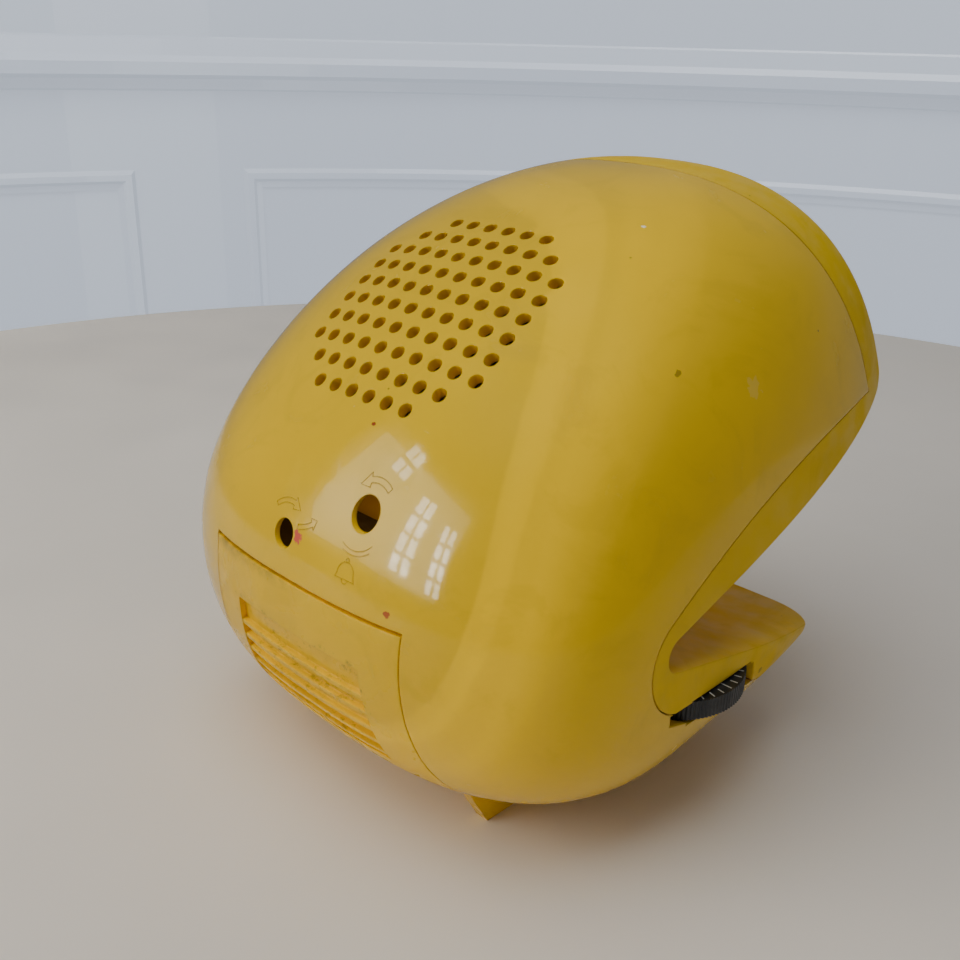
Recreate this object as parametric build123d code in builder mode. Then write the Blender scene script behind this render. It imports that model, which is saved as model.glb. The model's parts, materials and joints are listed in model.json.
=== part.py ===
"""Battery clock radio in a rounded, open-mouthed case, as an assembly of separate sub-parts.

Millimetres.  +Z is up, the clock face looks towards -Y and the battery door is at the rear, +Y.
The origin is on the ground under the middle of the whole object.
"""
from build123d import *
from math import cos, hypot, radians, sin, tan
import os

# ---- driving dimensions ------------------------------------------------------------------------
HALF_WIDTH = 61.0          # half the width of the case
WALL = 2.2                 # case wall
SEAM = 0.12                # half of the visible joint line between mouldings
CASE_AXIS = (20.3, 40.0)   # Y, Z of the cross axis that every lengthwise section is scaled about
SIDE_POWER, SIDE_ROOT = 2.5, 3.1   # rounding law of the case across its width

# side outline of the closed pebble, as Y, Z from the case axis, rear first and then upwards
OUTLINE = [
    (45.3, 0), (39.2, 28.5), (17.7, 54.3), (-25.4, 78.1), (-100, 68),
    (-118, 0), (-45.2, -32.9), (-12, -37), (12, -37), (35.5, -25.8),
]
SECTION_SCALES = [0.2, 0.36, 0.52, 0.66, 0.78, 0.87, 0.94, 0.98]

LEAN = 25.0                # the clock face and the clock's axis lean back by this angle
FACE_POINT = (-56.7, 100.7)  # Y, Z of the middle of the clock, on the face
BEZEL_DEPTH = 15.7         # from the face back to the joint with the rear shell
FACE_ROUND = 8.0           # rounding round the face, and along its lower lip
LIP_ROUND = 9.0

MOUTH_END = (24.3, 46.3)   # Y, Z of the centre of the rounded inner end of the mouth
MOUTH_R = 3.75
MOUTH_RISE, DECK_FALL = 17.7, 12.5   # slopes of the roof and the floor of the mouth
CHIN_Y = -35.0             # front of the chin, and the half width and radius of its plan corners
CHIN_HALF, CHIN_R = 60.0, 14.0

GRILLE_TILT = 53.3         # elevation of the grille's axis
GRILLE_SHIFT = -27.7       # grille centre from the case axis, positive downwards along the surface
GRILLE_HEIGHT = 54.3       # grille centre from the case axis, along the grille's axis
HOLE_PITCH, HOLE_D = 5.0, 2.9
HOLE_ROWS = [6, 8, 10, 10, 10, 10, 10, 10, 8, 6]

TIME_HOLE = (-15.0, 68.7)  # X, Z of the setting holes in the rear, and their radii
ALARM_HOLE = (4.4, 59.6)
TIME_HOLE_R, ALARM_HOLE_R = 3.2, 2.8
TIME_KEY = (-15.0, 18.3, 112.9)    # setting spindles: X, up, and depth of the knob's end
ALARM_KEY = (4.4, 11.6, 121.4)
TIME_KNOB_R, ALARM_KNOB_R = 3.1, 2.8
KEY_WALL = 1.1             # case wall left round the setting holes

WHEEL_AXIS = (47.0, 8.8)   # X, Y of the thumbwheel axes, one each side
WHEEL_R, WHEEL_T, WHEEL_Z = 16.3, 4.0, 29.0
RUN = 0.08                 # radial running clearance of a spindle
GAP = 0.3                  # clearance between parts that move past each other

BOARD_Z, BOARD_T = 17.0, 1.6
HEAD_Z = 11.5              # seat of the case screws' heads, inside their wells
BOX_FLOOR = 11.5           # underside of the battery box
CELL_END = 23.6            # from the middle plane to a cell's flat end
CELL_R, CELL_L = 7.1, 50.2
CELLS = [(36.5, 20.0), (38.2, 35.2), (52.6, 40.4), (50.0, 25.2)]   # Y, Z of the four cells
BOX_X = 30.3               # half the length of the battery box
BOX_WALL = 1.2

WINDOW = (66.0, 28.0, 11.0)   # clock window: width, height, corner radius
DIAL_DEPTH = 4.8           # front of the dial, behind the face
EAR = (41.0, -3.0)         # the dial's fixing screws, across and up the face
POST_X, POST_Y = 25.0, -29.0   # the two posts that the case screws enter
SCREW_R = 1.4
SWITCH_Y = -12.0           # mode switch, in the floor of the mouth
BOARD_SCREWS = [(-33, -19), (33, -19), (-36, 22), (36, 22)]
SPEAKER_R, SPEAKER_FACE = 28.5, 6.6    # speaker radius, depth of its rim under the grille

os.makedirs("parts", exist_ok=True)


def finish(part, name):
    """Label a sub-part and write it."""
    part.label = name
    export_step(part, f"parts/{name}.step")


# ---- the pebble and the cutters that the case is made with ---------------------------------------
def inset_outline(inset):
    """The side outline moved inwards by inset, square to its own run."""
    moved = []
    for i, (y, z) in enumerate(OUTLINE):
        y0, z0 = OUTLINE[i - 1]
        y1, z1 = OUTLINE[(i + 1) % len(OUTLINE)]
        run = hypot(y1 - y0, z1 - z0)
        moved.append((y - inset * (z1 - z0) / run, z + inset * (y1 - y0) / run))
    return moved


def pebble(inset):
    """The closed form of the case, shrunk by inset: scaled copies of the side outline, lofted."""
    points = inset_outline(inset)
    half = HALF_WIDTH - inset
    stations = [((1 - k**SIDE_ROOT) ** (1 / SIDE_POWER) * half, k) for k in SECTION_SCALES]
    stations = [(-x, k) for x, k in stations] + [(0, 1)] + [(x, k) for x, k in reversed(stations)]
    with BuildPart() as form:
        for x, k in stations:
            with BuildSketch(Plane.YZ.offset(x)):
                with BuildLine():
                    Spline(*[(CASE_AXIS[0] + k * y, CASE_AXIS[1] + k * z) for y, z in points],
                           periodic=True)
                make_face()
        loft()
    return form.part


def side_prism(sketch, half=80.0):
    """A side-view sketch, drawn in Y and Z, carried right across the case."""
    with BuildPart() as prism:
        extrude(sketch.moved(Location((-half, 0, 0))), amount=2 * half, dir=(1, 0, 0))
    return prism.part


def face_plane(depth=0.0, shift=(0.0, 0.0)):
    """Plane square to the clock's axis, depth behind the face, shift across and up it."""
    normal = Vector(0, -cos(radians(LEAN)), sin(radians(LEAN)))
    up = Vector(0, sin(radians(LEAN)), cos(radians(LEAN)))
    origin = Vector(shift[0], *FACE_POINT) + up * shift[1] - normal * depth
    return Plane(origin=origin, x_dir=(1, 0, 0), z_dir=normal)


def grille_plane(depth=0.0):
    """Plane square to the grille's axis, depth inside the outer surface at the grille's centre."""
    normal = Vector(0, cos(radians(GRILLE_TILT)), sin(radians(GRILLE_TILT)))
    along = Vector(0, sin(radians(GRILLE_TILT)), -cos(radians(GRILLE_TILT)))
    origin = Vector(0, *CASE_AXIS) + along * GRILLE_SHIFT + normal * (GRILLE_HEIGHT - depth)
    return Plane(origin=origin, x_dir=(1, 0, 0), z_dir=normal)


def mouth(grow):
    """Side view of the mouth and the space before the face, grown by grow into the material."""
    radius = MOUTH_R + grow
    y, z = MOUTH_END
    reach, top_z = 130.0, 150.0
    rise, fall, lean = radians(MOUTH_RISE), radians(DECK_FALL), tan(radians(LEAN))
    roof_y, roof_z = y + radius * sin(rise), z + radius * cos(rise)
    deck_y, deck_z = y + radius * sin(fall), z - radius * cos(fall)
    face_y = FACE_POINT[0] + grow / cos(radians(LEAN))
    lip_z = roof_z + (roof_y - face_y + FACE_POINT[1] * lean) * tan(rise)
    lip_z /= 1 + lean * tan(rise)
    lip = (face_y + (lip_z - FACE_POINT[1]) * lean, lip_z)
    with BuildSketch(Plane.YZ) as view:
        with BuildLine():
            Polyline((roof_y, roof_z), lip, (face_y + (top_z - FACE_POINT[1]) * lean, top_z),
                     (y - reach, top_z), (y - reach, deck_z - reach * tan(fall)),
                     (deck_y, deck_z))
            ThreePointArc((deck_y, deck_z), (y + radius, z), (roof_y, roof_z))
        make_face()
        fillet(view.vertices().sort_by_distance(lip)[0], LIP_ROUND - grow)
    return view.sketch


def deck_plane(y, depth=0.0):
    """Plane on the mouth's floor at Y = y, depth under its surface."""
    fall = radians(DECK_FALL)
    normal = Vector(0, -sin(fall), cos(fall))
    end = Vector(0, *MOUTH_END) + Vector(0, sin(fall), -cos(fall)) * MOUTH_R
    origin = end - Vector(0, 1, tan(fall)) * (end.Y - y) - normal * depth
    return Plane(origin=origin, x_dir=(1, 0, 0), z_dir=normal)


def clock_bar(radius, back, front, shift=(0.0, 0.0)):
    """A round bar along the clock's axis between two depths behind the face."""
    with BuildPart() as bar:
        with BuildSketch(face_plane(back, shift)):
            Circle(radius)
        extrude(amount=back - front)
    return bar.part


def layer(outer, inner, zone):
    """The part of the case's thickness between two insets that lies inside a zone."""
    return (pebble(outer) - pebble(inner)) & zone


def upright(points, radius, z0, z1):
    """Round bars standing at each of the points, from z0 up to z1."""
    with BuildPart() as bars:
        with BuildSketch(Plane.XY.offset(z0)):
            with Locations(*points):
                Circle(radius)
        extrude(amount=z1 - z0)
    return bars.part


def rear_prism(points):
    """A rear-view polygon, in X and Z, carried forward from behind the case."""
    with BuildPart() as prism:
        with BuildSketch(Plane.XZ.offset(-80)):
            with BuildLine():
                Polyline(*points, close=True)
            make_face()
        extrude(amount=50)
    return prism.part


# ---- the case as one shell, then parted along the moulding joint ----------------------------------
def trimmed_case(inset):
    """The pebble cut to the clock face, the mouth and the chin, every wall moved in by inset."""
    with BuildPart() as case:
        add(pebble(inset))
        with BuildSketch(face_plane(inset)):
            Rectangle(300, 300)
        extrude(amount=120, mode=Mode.SUBTRACT)
        face_axis = Axis(face_plane().origin, face_plane().z_dir)
        fillet(case.faces().filter_by(face_axis).edges(), FACE_ROUND - inset)
        add(side_prism(mouth(inset)), mode=Mode.SUBTRACT)
        with BuildSketch(Plane.XY.offset(-20)):
            with Locations((0, CHIN_Y - 60)):
                Rectangle(200, 160)
            with Locations((0, CHIN_Y + inset)):
                RectangleRounded(2 * (CHIN_HALF - inset), 120, CHIN_R - inset, mode=Mode.SUBTRACT,
                                 align=(Align.CENTER, Align.MIN))
        extrude(amount=62, mode=Mode.SUBTRACT)
    return case.part


def front_region(grow):
    """Side view of everything that belongs to the front moulding, its joint line moved by grow."""
    lean = tan(radians(LEAN))
    corner_y, corner_z = -49.0, 78.5
    y0 = corner_y + 61.5 * lean
    with BuildSketch(Plane.YZ) as view:
        with BuildLine():
            Polyline((y0, corner_z + 61.5), (corner_y, corner_z))
            upper = ThreePointArc((corner_y, corner_z), (-12, 72.7), (27.6, 53.2))
            TangentArc((27.6, 53.2), (24, 33.4), tangent=upper % 1)
            Polyline((24, 33.4), (-2.8, 32.9), (-5.6, 26.7), (-29.5, 17), (-130, 8),
                     (-130, corner_z + 61.5), (y0, corner_z + 61.5))
        make_face()
        if grow:
            offset(amount=grow)
    return view.sketch


shell = trimmed_case(0) - trimmed_case(WALL)
POSTS = [(-POST_X, POST_Y), (POST_X, POST_Y)]
EARS = [(-EAR[0], EAR[1]), (EAR[0], EAR[1])]

# ---- front moulding: clock surround, mouth, chin and the band along the mouth ----------------------
SLOT = [(25.8, 33.6), (25.5, 31.0), (17.0, 28.3), (-5.6, 26.7), (-2.8, 32.9)]

# opening for a thumbwheel, in each side
with BuildPart() as slot_cut:
    with BuildSketch(Plane.YZ.offset(40)):
        with BuildLine():
            Polyline(*SLOT, close=True)
        make_face()
    extrude(amount=40)
    with Locations((*WHEEL_AXIS, WHEEL_Z - 0.7)):
        Cylinder(WHEEL_R + 0.8, WHEEL_T + 1.4, align=(Align.CENTER, Align.CENTER, Align.MIN))
    mirror(about=Plane.YZ)

# where the front moulding laps inside the rear shell along the top
with BuildPart() as lip_zone:
    with BuildSketch(face_plane(BEZEL_DEPTH + 3)):
        Rectangle(200, 200)
    extrude(amount=6)
    with Locations((0, 0, 88)):
        Box(200, 200, 200, align=(Align.CENTER, Align.CENTER, Align.MAX), mode=Mode.SUBTRACT)

with BuildPart() as front_bezel:
    add(shell & side_prism(front_region(-SEAM)))
    with BuildSketch(face_plane(10)):
        RectangleRounded(*WINDOW)
    extrude(amount=20, mode=Mode.SUBTRACT)
    add(layer(WALL - 0.4, WALL + 1.4, lip_zone.part) & side_prism(front_region(-SEAM)))
    add(layer(WALL + 0.15, WALL + 1.4, lip_zone.part))
    # posts for the dial
    with BuildSketch(face_plane(DIAL_DEPTH)):
        with Locations(*EARS):
            Circle(2.2)
    extrude(amount=DIAL_DEPTH - 2)
    with BuildSketch(face_plane(DIAL_DEPTH)):
        with Locations(*EARS):
            Circle(0.9)
    extrude(amount=2.2, mode=Mode.SUBTRACT)
    # posts for the case screws
    add(upright(POSTS, 3.2, BOARD_Z - 1, 29.5) - upright(POSTS, SCREW_R, BOARD_Z - 2, 28.5))
    # opening for the mode switch
    with BuildSketch(deck_plane(SWITCH_Y, 6)):
        Rectangle(16, 5)
    extrude(amount=10, mode=Mode.SUBTRACT)
    add(slot_cut.part, mode=Mode.SUBTRACT)
finish(front_bezel.part, "front_bezel")

# ---- battery door outline, seen from the rear ---------------------------------------------------
DOOR_TOP, DOOR_FRONT = 51.8, 47.5           # top edge (Z) and front edge under the case (Y)
DOOR_SIDE = [(28.9, DOOR_TOP), (29.6, 33.0), (31.0, 23.5), (35.0, 8.0)]   # X, Z down the edge


def door_prism(grow, top=DOOR_TOP):
    """The block that the battery door is cut from, grown by grow, up to a top edge."""
    right = [(x + grow, z) for x, z in DOOR_SIDE]
    right[0] = (right[0][0], top + grow)
    with BuildPart() as block:
        with BuildSketch(Plane.XZ.offset(-75)):
            with BuildLine():
                Spline(*right)
                Polyline(right[-1], (0, right[-1][1]), (0, right[0][1]), right[0])
            make_face()
            mirror(about=Plane.YZ)
        extrude(amount=75 - DOOR_FRONT + grow)
    return block.part


# ---- rear shell ---------------------------------------------------------------------------------
# thinner places in the wall behind the setting holes, where the knobs come close
with BuildPart() as key_wells:
    for (x, up, end), radius in ((TIME_KEY, TIME_KNOB_R), (ALARM_KEY, ALARM_KNOB_R)):
        add(clock_bar(radius + 1.6, end + 12, end - 10, (x, up)))

FOOT_X, FOOT_T = 28.4, 3.2                  # middle and thickness of each foot
REAR_FOOT = [(46.8, 10.5), (40.9, 0), (29.0, 0), (25.0, 8.0), (30, 12)]   # Y, Z
FRONT_FOOT = [(-1.0, 8.0), (-4.0, 0), (-14.0, 0), (-19.0, 11.0), (-8, 10)]

holes = []
for row, count in enumerate(HOLE_ROWS):
    for i in range(count):
        holes.append(((i - (count - 1) / 2) * HOLE_PITCH,
                      ((len(HOLE_ROWS) - 1) / 2 - row) * HOLE_PITCH))

with BuildPart() as feet:
    for outline in (REAR_FOOT, FRONT_FOOT):
        with BuildSketch(Plane.YZ.offset(FOOT_X - FOOT_T / 2)):
            with BuildLine():
                Polyline(*outline, close=True)
            make_face()
        extrude(amount=FOOT_T)
    mirror(about=Plane.YZ)

# inside: ring round the speaker, bosses for the board and the case screws, ribs under the cells
with BuildPart() as fittings:
    with BuildSketch(grille_plane(SPEAKER_FACE + 1.2)):
        Circle(SPEAKER_R + 2.0)
        Circle(SPEAKER_R + 0.4, mode=Mode.SUBTRACT)
    extrude(amount=14)
    add(upright(BOARD_SCREWS, 2.8, 0, BOARD_Z))
    add(upright(POSTS, 3.4, 0, BOARD_Z - 1))
    with Locations((-20, 36, 0), (20, 36, 0)):
        Box(1.6, 12, BOX_FLOOR, align=(Align.CENTER, Align.CENTER, Align.MIN))

with BuildPart() as rear_shell:
    add(shell - side_prism(front_region(SEAM)))
    # speaker grille
    with BuildSketch(grille_plane(12)):
        with Locations(*holes):
            Circle(HOLE_D / 2)
    extrude(amount=24, mode=Mode.SUBTRACT)
    # holes over the two setting knobs
    with BuildSketch(Plane.XZ.offset(-75)):
        with Locations(TIME_HOLE):
            Circle(TIME_HOLE_R)
        with Locations(ALARM_HOLE):
            Circle(ALARM_HOLE_R)
    extrude(amount=30, mode=Mode.SUBTRACT)
    add(fittings.part & pebble(WALL - 0.6))
    add(key_wells.part & pebble(KEY_WALL), mode=Mode.SUBTRACT)
    add(door_prism(0.0), mode=Mode.SUBTRACT)
    add(slot_cut.part, mode=Mode.SUBTRACT)
    add(feet.part - pebble(0.4))
    add(upright(BOARD_SCREWS, 1.0, BOARD_Z - 7, BOARD_Z + 1), mode=Mode.SUBTRACT)
    add(upright(POSTS, SCREW_R + 0.3, 0, BOARD_Z), mode=Mode.SUBTRACT)
    add(upright(POSTS, 2.9, 0, HEAD_Z), mode=Mode.SUBTRACT)
finish(rear_shell.part, "rear_shell")

# ---- battery door -------------------------------------------------------------------------------
GRIP = [(-19.0, 40.8), (19.0, 40.8), (20.8, 18.9), (-20.8, 18.9)]       # thumb grip, X and Z
GRIP_BACK = [(-21.3, 42.8), (21.3, 42.8), (23.0, 19.0), (-23.0, 19.0)]   # thicker panel behind it
GRIP_DEPTH, RIBS, RIB_STEP = 1.3, 5, 4.9                                # RIB_STEP in degrees
HOOKS = [(-16, 58, 45), (16, 58, 45)]

# blades that spread out from the case's cross axis, one for each rib of the grip
with BuildPart() as ribs:
    with BuildSketch(Plane.YZ.offset(-30)):
        for i in range(RIBS):
            with Locations(Location((*CASE_AXIS, 0), -(i + 1.4) * RIB_STEP)):
                with Locations((45, 0)):
                    Rectangle(30, 1.1)
    extrude(amount=60)

with BuildPart() as hook_zone:
    with Locations(*HOOKS):
        Box(8, 20, 8.2, align=(Align.CENTER, Align.CENTER, Align.MIN))

with BuildPart() as web_zone:
    with Locations(*HOOKS):
        Box(8, 20, 5.2, align=(Align.CENTER, Align.CENTER, Align.MIN))

with BuildPart() as battery_door:
    add(shell & door_prism(-0.25, DOOR_TOP - 0.55))
    add(layer(WALL - 0.3, WALL + 0.6, rear_prism(GRIP_BACK)))
    add(layer(-1, GRIP_DEPTH, rear_prism(GRIP)), mode=Mode.SUBTRACT)
    add(layer(0.15, GRIP_DEPTH + 0.2, rear_prism(GRIP)) & ribs.part)
    # two hooks that reach up behind the shell
    add(layer(WALL + 1.2, WALL + 2.4, hook_zone.part))
    add(layer(WALL - 0.3, WALL + 2.4, web_zone.part))
finish(battery_door.part, "battery_door")

# ---- battery box, cells and contacts --------------------------------------------------------------
BOX_PROFILE = [(28.0, BOX_FLOOR), (41.6, BOX_FLOOR), (49.8, 17.2), (58.0, 49.0),
               (31.5, 49.0), (31.5, 43.0), (28.0, 37.5)]
BOX_MOUTH = [(45.0, 17.2), (53.0, 47.8), (66.0, 47.8), (60.0, 17.2)]

with BuildPart() as battery_box:
    with BuildSketch(Plane.YZ.offset(-BOX_X)):
        with BuildLine():
            Polyline(*BOX_PROFILE, close=True)
        make_face()
    extrude(amount=2 * BOX_X)
    with BuildSketch(Plane.YZ.offset(-BOX_X + BOX_WALL)):
        with BuildLine():
            Polyline(*BOX_PROFILE, close=True)
        make_face()
        offset(amount=-BOX_WALL, kind=Kind.INTERSECTION)
        with BuildLine():
            Polyline(*BOX_MOUTH, close=True)
        make_face()
    extrude(amount=2 * (BOX_X - BOX_WALL), mode=Mode.SUBTRACT)
finish(battery_box.part, "battery_box")

for number, (y, z) in enumerate(CELLS):
    way = 1 if number % 2 else -1
    with BuildPart() as battery_cell:
        with BuildSketch(Plane.YZ.offset(-way * CELL_END)) as end:
            with Locations((y, z)):
                Circle(CELL_R)
        extrude(end.sketch, amount=(CELL_L - 1.2), dir=(way, 0, 0))
        fillet(battery_cell.edges(), 0.5)
        with BuildSketch(Plane.YZ.offset(way * (CELL_L - 1.2 - CELL_END))) as nub:
            with Locations((y, z)):
                Circle(2.7)
        extrude(nub.sketch, amount=1.2, dir=(way, 0, 0))
    finish(battery_cell.part, f"battery_cell_{number + 1}")

with BuildPart() as contact_plates:
    for number, (y, z) in enumerate(CELLS):
        way = 1 if number % 2 else -1
        with Locations((way * (CELL_L - CELL_END + 0.2), y, z)):
            Box(0.4, 9, 9)
finish(contact_plates.part, "contact_plates")

with BuildPart() as contact_springs:
    for number, (y, z) in enumerate(CELLS):
        way = 1 if number % 2 else -1
        wall = Plane(origin=(-way * (BOX_X - BOX_WALL - 0.4), y, z), x_dir=(0, 1, 0),
                     z_dir=(way, 0, 0))
        length = BOX_X - BOX_WALL - 0.8 - CELL_END
        turns = Helix(pitch=length / 3.2, height=length, radius=4.2, cone_angle=-12)
        wire = wall.location * turns
        with BuildSketch(Plane(origin=wire @ 0, z_dir=wire % 0)) as section:
            Circle(0.35)
        sweep(section.sketch, path=wire, is_frenet=True)
finish(contact_springs.part, "contact_springs")



# ---- speaker ------------------------------------------------------------------------------------
def speaker_ring(name, radii_depths):
    """A turned part about the speaker's axis: outline of radius and depth under the grille."""
    base = grille_plane(0)
    with BuildPart() as turned:
        with BuildSketch(Plane(origin=base.origin, x_dir=base.x_dir, z_dir=-base.y_dir)):
            with BuildLine():
                Polyline(*[(r, -d) for r, d in radii_depths], close=True)
            make_face()
        revolve(axis=Axis(base.origin, base.z_dir))
    finish(turned.part, name)


F = SPEAKER_FACE
speaker_ring("speaker_frame", [(24, F), (SPEAKER_R, F), (SPEAKER_R, F + 1), (25.6, F + 1),
                               (12.8, F + 6.6), (6, F + 6.6), (6, F + 5.8), (12.4, F + 5.8),
                               (24, F + 0.8)])
speaker_ring("speaker_cone", [(0, F + 3.2), (5, F + 4.0), (23.2, F + 0.3), (23.6, F + 0.3),
                              (23.6, F + 0.6), (5.2, F + 4.4), (5.2, F + 8), (4.8, F + 8),
                              (4.8, F + 4.5), (0, F + 3.6)])
speaker_ring("speaker_magnet", [(6, F + 6.8), (12, F + 6.8), (12, F + 12.6), (0, F + 12.6),
                                (0, F + 6.8), (4, F + 6.8), (4, F + 9.5), (6, F + 9.5)])
with BuildPart() as speaker_cloth:
    with BuildSketch(grille_plane(F)):
        Circle(SPEAKER_R)
        Circle(SPEAKER_R - 4, mode=Mode.SUBTRACT)
    extrude(amount=0.4)
    with BuildSketch(grille_plane(F - 0.4)):
        Circle(SPEAKER_R)
    extrude(amount=0.4)
finish(speaker_cloth.part, "speaker_cloth")

# ---- circuit board and what stands on it -----------------------------------------------------------
BOARD_TOP = BOARD_Z + BOARD_T
ROD_Y, ROD_Z, ROD_R = -20.5, 24.2, 4.0     # aerial rod
COIL_CANS = [(-24, -3), (-12, -3), (12, -3), (24, -3)]
CANS = [(-22, 12, 4, 11), (-11, 19, 3.2, 8), (14, 18, 5, 14), (27, 12, 3.2, 8)]
RESISTORS = [(-33, -8), (-33, -3), (33, -8), (33, -3), (-3, 2.5), (6, 2.5), (-27, 20), (22, 22)]
TRANSISTORS = [(-4, -4.5), (4, -4.5), (-14, 5)]


def level_bar(y, z, x0, x1, radius):
    """A round bar along X, from x0 to x1."""
    with BuildPart() as bar:
        with BuildSketch(Plane.YZ.offset(x0)):
            with Locations((y, z)):
                Circle(radius)
        extrude(amount=x1 - x0)
    return bar.part


with BuildPart() as circuit_board:
    with BuildSketch(Plane.XY.offset(BOARD_Z)):
        with Locations((0, 1)):
            RectangleRounded(80, 52, 2)
        with Locations((0, 9)):
            Rectangle(98, 16)
        with Locations(*BOARD_SCREWS):
            Circle(1.3, mode=Mode.SUBTRACT)
    extrude(amount=BOARD_T)
finish(circuit_board.part, "circuit_board")

with BuildPart() as board_screws:
    add(upright(BOARD_SCREWS, 2.3, BOARD_TOP, BOARD_TOP + 1.5))
    add(upright(BOARD_SCREWS, 0.95, BOARD_Z - 6, BOARD_TOP))
    with Locations(*[(x, y, BOARD_TOP + 1.5) for x, y in BOARD_SCREWS]):
        Box(3.6, 0.7, 1.4, mode=Mode.SUBTRACT)
        Box(0.7, 3.6, 1.4, mode=Mode.SUBTRACT)
finish(board_screws.part, "board_screws")

with BuildPart() as case_screws:
    add(upright(POSTS, 2.6, HEAD_Z - 1.8, HEAD_Z))
    add(upright(POSTS, SCREW_R - 0.05, HEAD_Z, 27))
    with Locations(*[(x, y, HEAD_Z - 1.8) for x, y in POSTS]):
        Box(3.8, 0.8, 2, mode=Mode.SUBTRACT)
        Box(0.8, 3.8, 2, mode=Mode.SUBTRACT)
finish(case_screws.part, "case_screws")

with BuildPart() as ferrite_rod:
    add(level_bar(ROD_Y, ROD_Z, -28, 28, ROD_R))
finish(ferrite_rod.part, "ferrite_rod")

with BuildPart() as antenna_coil:
    for x0, x1, radius in ((-19, -5, 5.2), (5, 11, 5.0)):
        add(level_bar(ROD_Y, ROD_Z, x0, x1, radius))
    add(level_bar(ROD_Y, ROD_Z, -30, 30, ROD_R + 0.02), mode=Mode.SUBTRACT)
finish(antenna_coil.part, "antenna_coil")

with BuildPart() as rod_holders:
    with Locations((-22, ROD_Y + 0.6, BOARD_TOP), (22, ROD_Y + 0.6, BOARD_TOP)):
        Box(2.4, 9, 7, align=(Align.CENTER, Align.CENTER, Align.MIN))
    add(level_bar(ROD_Y, ROD_Z, -30, 30, ROD_R + 0.02), mode=Mode.SUBTRACT)
finish(rod_holders.part, "rod_holders")

with BuildPart() as if_transformers:
    with BuildSketch(Plane.XY.offset(BOARD_TOP)):
        with Locations(*COIL_CANS):
            RectangleRounded(7, 7, 0.6)
    extrude(amount=9.5)
    with BuildSketch(Plane.XY.offset(BOARD_TOP + 9.5)):
        with Locations(*COIL_CANS):
            Circle(2.4)
    extrude(amount=-3, mode=Mode.SUBTRACT)
finish(if_transformers.part, "if_transformers")

with BuildPart() as transformer_cores:
    add(upright(COIL_CANS, 2.3, BOARD_TOP + 6.6, BOARD_TOP + 8.9))
    with Locations(*[(x, y, BOARD_TOP + 8.9) for x, y in COIL_CANS]):
        Box(3.4, 0.7, 1.6, mode=Mode.SUBTRACT)
finish(transformer_cores.part, "transformer_cores")

with BuildPart() as electrolytics:
    for x, y, radius, height in CANS:
        with Locations((x, y, BOARD_TOP)):
            Cylinder(radius, height, align=(Align.CENTER, Align.CENTER, Align.MIN))
    fillet(electrolytics.edges().group_by(Axis.Z)[1:], 0.5)
finish(electrolytics.part, "electrolytics")

with BuildPart() as audio_chip:
    with Locations((1, 10, BOARD_TOP + 0.5)):
        Box(18, 6.4, 3.2, align=(Align.CENTER, Align.CENTER, Align.MIN))
    with BuildSketch(Plane.XY.offset(BOARD_TOP)):
        with Locations((1, 10)):
            with GridLocations(2.3, 7.4, 8, 2):
                Rectangle(0.6, 1.0)
    extrude(amount=2.2)
finish(audio_chip.part, "audio_chip")

with BuildPart() as resistors:
    for x, y in RESISTORS:
        add(level_bar(y, BOARD_TOP + 1.2, x - 3, x + 3, 1.1))
finish(resistors.part, "resistors")

with BuildPart() as transistors:
    for x, y in TRANSISTORS:
        with Locations((x, y, BOARD_TOP)):
            Cylinder(2.3, 5, align=(Align.CENTER, Align.CENTER, Align.MIN))
        with Locations((x, y - 2.7, BOARD_TOP)):
            Box(6, 2.4, 6, align=(Align.CENTER, Align.CENTER, Align.MIN), mode=Mode.SUBTRACT)
finish(transistors.part, "transistors")

# ---- mode switch ----------------------------------------------------------------------------------
with BuildPart() as mode_switch_body:
    with Locations((0, SWITCH_Y, BOARD_TOP)):
        Box(18, 6.4, 6, align=(Align.CENTER, Align.CENTER, Align.MIN))
    with Locations((0, SWITCH_Y, BOARD_TOP + 2)):
        Box(12.6, 3.6, 6, align=(Align.CENTER, Align.CENTER, Align.MIN), mode=Mode.SUBTRACT)
finish(mode_switch_body.part, "mode_switch_body")

with BuildPart() as mode_switch_knob:
    with BuildSketch(deck_plane(SWITCH_Y, -1.8)):
        RectangleRounded(7.6, 4.2, 0.8)
    extrude(amount=-8)
    with BuildSketch(deck_plane(SWITCH_Y, -1.8)):
        with GridLocations(1.4, 1, 4, 1):
            Rectangle(0.5, 6)
    extrude(amount=-0.6, mode=Mode.SUBTRACT)
    with Locations((0, SWITCH_Y, BOARD_TOP + 2.4)):
        Box(4, 2.8, 9, align=(Align.CENTER, Align.CENTER, Align.MIN))
finish(mode_switch_knob.part, "mode_switch_knob")

# ---- thumbwheels: volume at -X, tuning at +X --------------------------------------------------------
NOTCHES = 120
POT_TOP = 26.0
SCREW_SEAT = WHEEL_Z + 2.4

with BuildPart() as volume_pot:
    with Locations((-WHEEL_AXIS[0], WHEEL_AXIS[1], BOARD_TOP)):
        Cylinder(5.0, POT_TOP - BOARD_TOP, align=(Align.CENTER, Align.CENTER, Align.MIN))
        Cylinder(2.0 + RUN, 30, align=(Align.CENTER, Align.CENTER, Align.MIN),
                 mode=Mode.SUBTRACT)
    with Locations((-WHEEL_AXIS[0] + 4.5, WHEEL_AXIS[1], BOARD_TOP)):
        Box(5, 7, 3, align=(Align.MIN, Align.CENTER, Align.MIN))
finish(volume_pot.part, "volume_pot")

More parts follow.
